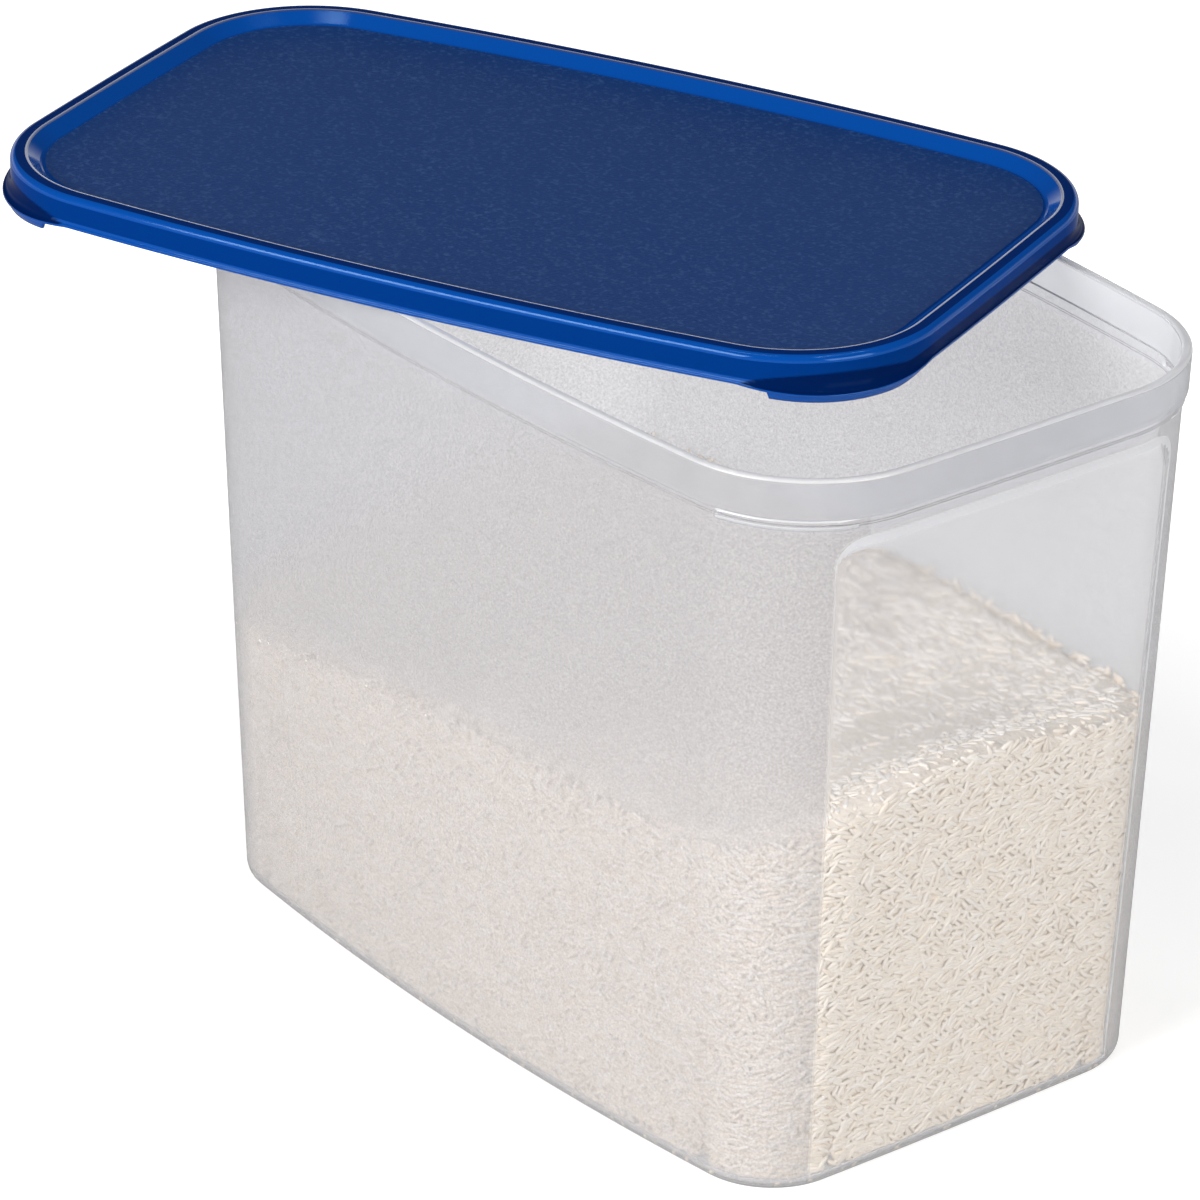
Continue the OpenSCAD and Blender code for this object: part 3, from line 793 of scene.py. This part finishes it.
rice = dict(  # mm
    level=125.5,
    frontDip=8.0,
    cornerDip=20.0,
    cornerAt=(-0.45, 0.28),  # its place and spread, as shares of the length
    mound=19.0,
    moundAt=(0.48, -0.06),  # shares of the length and of the width
    moundSpread=(0.118, 0.386),
    gap=0.3,
    length=(5.6, 7.4),
    width=(1.6, 2.0),
    perGrain=dict(window=3.6, wall=4.9, top=4.6),  # mm2 of surface for each grain
    coreInset=1.7,
    coreFoot=(0.4, 2),  # how far its foot lies above the gap, and further in
    wallDip=2.6,  # how far the bed falls away just beside the wall
    wallFrom=(0.94, 0.06),  # from this share of the way out, over this much
    piece=5200,  # grains in one mesh
    seed=7,
    windowTurn=0.9,  # radians each way that the window's grains take up
    wallFoot=1.5,  # of the lowest grain above the floor
    wallTop=145.0,  # above the highest grain
    clear=0.25,  # from the wall to the nearest grain
    bedInset=3.0,  # the bed's grains stay this far from the wall
    runHeight=60.0,  # where the way round the wall is measured
    turnSpread=0.6,  # radians, of grains against the wall
    tipSpread=(0.10, 0.17),  # against the wall and on the bed
    sink=0.2,  # share of its length by which a tipped grain lies lower
    bury=1.6,  # how deep a grain's middle lies below the bed's height
    fray=2.2,  # mean depth by which grains at the wall end below that
    loose=(0.35, 0.5),  # mean distance from the wall, and down from the bed
    wallTones=(0.0, 0.75),  # 0 is the warmest, 1 the palest
    topTones=(0.4, 1.0),
)


# A level bed that dips to the front, more so in the corner away from the window, with a mound at the window
def riceHeight(x, y, r=rice):
    u, v = x / container["length"], y / container["width"]
    front = np.clip(0.5 - v, 0, 1)
    corner = np.exp(-((u - r["cornerAt"][0]) / r["cornerAt"][1]) ** 2)
    (atX, atY), (spreadX, spreadY) = r["moundAt"], r["moundSpread"]
    mound = np.exp(-((u - atX) / spreadX) ** 2 - ((v - atY) / spreadY) ** 2)
    return r["level"] - front * (r["frontDip"] + r["cornerDip"] * corner) + r["mound"] * mound


# How far the bed lies lower near the wall, by the share of the way out to it
def wallFall(share, r=rice):
    return r["wallDip"] * smooth((share - r["wallFrom"][0]) / r["wallFrom"][1])


# A place on the container's wall: angle all the way round, height, and how far in from the outside
def wallPoint(angle, z, inset):
    arcs = planArcs(z)
    turned = np.abs((angle + np.pi / 2) % np.pi - np.pi / 2)
    x, y = planPoint(arcs, turned, -inset)
    return x * np.sign(np.cos(angle)), y * np.sign(np.sin(angle))


# Outward directions at even steps along the wall between two of them, and the length of the run
def evenAngles(start, end, shares):
    angles = np.linspace(start, end, 4000)
    x, y = wallPoint(angles, np.full(len(angles), rice["runHeight"]), container["wall"])
    run = np.concatenate([[0], np.cumsum(np.hypot(np.diff(x), np.diff(y)))])
    return np.interp(shares * run[-1], run, angles), run[-1]


# The bed's own surface, the walls' and the bed's heights set in a little so that the grains stand out of it
def makeCore(r):
    inset, columns = container["wall"] + r["gap"] + r["coreInset"], 160
    angle = evenAngles(0, 2 * np.pi, np.arange(columns) / columns)[0]
    floor = container["floor"] + r["gap"] + r["coreFoot"][0]
    edge = riceHeight(*wallPoint(angle, np.full(columns, r["level"]), inset)) - r["coreInset"] - wallFall(1.0)
    rings = []
    for share in (0.05, 0.5, 0.97):
        x, y = wallPoint(angle, np.full(columns, floor), inset + r["coreFoot"][1])
        rings.append(np.stack([x * share, y * share, np.full(columns, floor)], axis=-1))
    for share in np.linspace(0.04, 1, 9):
        z = floor + (edge - floor) * share
        x, y = wallPoint(angle, z, inset)
        rings.append(np.stack([x, y, z], axis=-1))
    x, y = rings[-1][:, 0], rings[-1][:, 1]
    for share in (0.98, 0.96, 0.94, 0.85, 0.7, 0.55, 0.4, 0.25, 0.1, 0.02):
        top = riceHeight(x * share, y * share) - r["coreInset"] - wallFall(share)
        rings.append(np.stack([x * share, y * share, top], axis=-1))
    return skinMesh("riceCore", np.array(rings) * mm)


# One long grain along X, length 1 and width 1: rings whose size is a power of one less a power of the way out
def grainShape(sides=6, rings=(-0.36, 0.0, 0.36), tipPower=2.6, sizePower=0.6, height=0.86):
    angle = np.arange(sides) * 2 * np.pi / sides
    points = [(-0.5, 0, 0)]
    for at in rings:
        size = 0.5 * (1 - (abs(at) * 2) ** tipPower) ** sizePower
        points += [(at, size * np.cos(a), size * height * np.sin(a)) for a in angle]
    points.append((0.5, 0, 0))
    last = len(points) - 1
    faces = []
    for i in range(sides):
        j = (i + 1) % sides
        faces.append((0, 1 + j, 1 + i))
        faces.append((last, last - sides + i, last - sides + j))
        for k in range(len(rings) - 1):
            a, b = 1 + k * sides, 1 + (k + 1) * sides
            faces += [(a + i, a + j, b + j), (a + i, b + j, b + i)]
    return np.array(points), np.array(faces)


# Grains as one mesh: the same shape scaled and turned into each grain's own axes, all at once
def grainMesh(name, places, axes, sizes, tones):
    shape, faces = grainShape()
    local = shape[None] * sizes[:, None, :]
    points = (np.einsum("gpi,gij->gpj", local, axes) + places[:, None, :]) * mm
    count, corners = len(places), len(shape)
    triangles = (faces[None] + (np.arange(count) * corners)[:, None, None]).reshape(-1, 3)
    mesh = bpy.data.meshes.new(name)
    mesh.vertices.add(count * corners)
    mesh.vertices.foreach_set("co", points.reshape(-1))
    mesh.loops.add(triangles.size)
    mesh.loops.foreach_set("vertex_index", triangles.reshape(-1))
    mesh.polygons.add(len(triangles))
    mesh.polygons.foreach_set("loop_start", np.arange(len(triangles)) * 3)
    mesh.polygons.foreach_set("use_smooth", np.ones(len(triangles), bool))
    mesh.update(calc_edges=True)
    tone = np.repeat(tones, corners).astype(np.float32)
    mesh.attributes.new("tone", "FLOAT", "POINT").data.foreach_set("value", tone)
    return mesh


# Each grain's axes: its length along a turned direction in the surface, tipped a little out of it
def grainAxes(along, normal, turn, tip):
    across = np.cross(normal, along)
    turn, tip = turn[:, None], tip[:, None]
    flat = along * np.cos(turn) + across * np.sin(turn)
    length = flat * np.cos(tip) + normal * np.sin(tip)
    side = np.cross(normal, flat)
    return np.stack([length, side, np.cross(length, side)], axis=1)


# Length, width and width again, each drawn evenly from its range
def grainSizes(random, count, r):
    length = random.uniform(*r["length"], count)
    width = random.uniform(*r["width"], count)
    return np.stack([length, width, width], axis=-1)


# Grains that lie against the wall, each just clear of it: their heights rise evenly and their places along
# the wall go on by the golden share each time
def wallGrains(random, r, fromAngle, toAngle, area):
    bottom, top, golden = container["floor"] + r["wallFoot"], r["wallTop"], 0.6180339887
    run = evenAngles(fromAngle, toAngle, 0)[1]
    count = int(run * (top - bottom) / area)
    angle = evenAngles(fromAngle, toAngle, np.arange(count) * golden % 1)[0]
    z = bottom + (top - bottom) * (np.arange(count) + random.uniform(0, 1, count)) / count
    order = random.permutation(count)
    angle, z = angle[order], z[order]
    size = grainSizes(random, count, r)
    tip = random.normal(0, r["tipSpread"][0], count)
    inset = container["wall"] + r["clear"] + size[:, 1] * 0.5 + size[:, 0] * 0.5 * np.abs(np.sin(tip))
    inset = inset + random.exponential(r["loose"][0], count)
    curve = np.maximum(0, container["baseFillet"] + 1.0 - z)  # a parabola clears the fillet
    inset = inset + curve * curve / container["baseFillet"] * 0.5
    x, y = wallPoint(angle, z, inset)
    keep = z < riceHeight(x, y) - r["bury"] - random.exponential(r["fray"], count)
    x, y, z, angle, size, tip = x[keep], y[keep], z[keep], angle[keep], size[keep], tip[keep]
    normal = np.stack([np.cos(angle), np.sin(angle), np.zeros_like(angle)], axis=-1)
    along = np.stack([-np.sin(angle), np.cos(angle), np.zeros_like(angle)], axis=-1)
    turn = random.normal(0, r["turnSpread"], len(x))
    return np.stack([x, y, z], axis=-1), grainAxes(along, normal, turn, tip), size


# Grains that lie on the bed: their places across the plan go on by two shares that fill it evenly, and those
# nearer the middle than the wall's outline in the same direction are kept
def topGrains(random, r):
    halfX, halfY = container["length"] / 2, container["width"] / 2
    count = int(4 * halfX * halfY / r["perGrain"]["top"])
    number, onward = np.arange(count), (0.7548776662, 0.5698402910)
    x = (number * onward[0] % 1 * 2 - 1) * halfX
    y = (number * onward[1] % 1 * 2 - 1) * halfY
    size = grainSizes(random, count, r)
    z = riceHeight(x, y)
    arcs = planArcs(z)
    angle = np.linspace(0, np.pi / 2, 200)
    inset = container["wall"] + r["bedInset"]
    outlineX, outlineY = planPoint({k: v.mean() for k, v in arcs.items()}, angle, -inset)
    direction, outline = np.arctan2(np.abs(y), np.abs(x)), np.arctan2(outlineY, outlineX)
    limit = np.interp(direction, outline, np.hypot(outlineX, outlineY))
    share = np.hypot(x, y) / limit
    keep = share < 1
    x, y, z, size = x[keep], y[keep], (z - wallFall(share))[keep], size[keep]
    slopeX = (riceHeight(x + 1, y) - riceHeight(x - 1, y)) / 2  # over 2 mm
    slopeY = (riceHeight(x, y + 1) - riceHeight(x, y - 1)) / 2
    normal = np.stack([-slopeX, -slopeY, np.ones_like(x)], axis=-1)
    normal /= np.linalg.norm(normal, axis=-1, keepdims=True)
    along = np.cross(normal, (0, -1, 0))
    along /= np.linalg.norm(along, axis=-1, keepdims=True)
    tip = random.normal(0, r["tipSpread"][1], len(x))
    sink = size[:, 0] * r["sink"] * np.abs(np.sin(tip))
    z = z - random.exponential(r["loose"][1], len(x)) - r["bury"] - sink
    turn = random.uniform(0, np.pi, len(x))
    return np.stack([x, y, z], axis=-1), grainAxes(along, normal, turn, tip), size


riceColour = dict(
    warm=(0.88, 0.765, 0.635, 1),
    pale=(0.90, 0.82, 0.725, 1),
    chalk=(0.92, 0.87, 0.825, 1),
    core=(0.86, 0.76, 0.65, 1),
    warmTo=0.6,  # tone at which the warm colour has given way to the pale, and chalk begins
    rough=0.4,
    gloss=0.4,
    bend=1.45,  # index of refraction
    coreRough=0.7,
    coreGrain=dict(scale=500.0, strength=0.6, depth=0.001),
)


# Warm to pale to chalky, as each grain's own tone says
def riceMaterial(p):
    made, tree, output = newMaterial("rice")
    tone = carried(tree, "tone")
    colour = blendColour(tree, remap(tree, tone, 0.0, p["warmTo"]), p["warm"], p["pale"])
    colour = blendColour(tree, remap(tree, tone, p["warmTo"], 1.0), colour, p["chalk"])
    body = node(tree, "BsdfPrincipled", Base_Color=colour, Roughness=p["rough"], IOR=p["bend"],
                Specular_IOR_Level=p["gloss"])
    tree.links.new(body.outputs[0], output.inputs["Surface"])
    return made


# One colour with a rough noise, for what shows between the grains
def coreMaterial(p):
    made, tree, output = newMaterial("riceCore")
    fine = p["coreGrain"]
    grain = node(tree, "TexNoise", Vector=objectPlace(tree), Scale=fine["scale"], Detail=2.0)
    bump = node(tree, "Bump", Height=grain.outputs["Fac"], Strength=fine["strength"], Distance=fine["depth"])
    body = node(tree, "BsdfPrincipled", Base_Color=p["core"], Roughness=p["coreRough"],
                Normal=bump.outputs[0])
    tree.links.new(body.outputs[0], output.inputs["Surface"])
    return made


# The core, then the window's, the wall's and the bed's grains in meshes of a limited size
def makeRice(r):
    random = np.random.default_rng(r["seed"])
    turn = r["windowTurn"]
    window = wallGrains(random, r, -turn, turn, r["perGrain"]["window"])
    wall = wallGrains(random, r, turn, 2 * np.pi - turn, r["perGrain"]["wall"])
    top = topGrains(random, r)
    material = riceMaterial(riceColour)
    addPiece("riceCore", makeCore(r), "container", "rice", [coreMaterial(riceColour)])
    sides, above = r["wallTones"], r["topTones"]
    parts = (("riceWindow", window, sides), ("riceWall", wall, sides), ("riceTop", top, above))
    for name, (places, axes, sizes), span in parts:
        for i, start in enumerate(range(0, len(places), r["piece"])):
            part = slice(start, start + r["piece"])
            tones = random.uniform(*span, len(places[part]))
            mesh = grainMesh("%s%d" % (name, i), places[part], axes[part], sizes[part], tones)
            addPiece(mesh.name, mesh, "container", None, [material])
        print(name, len(places), "grains")


makeRice(rice)
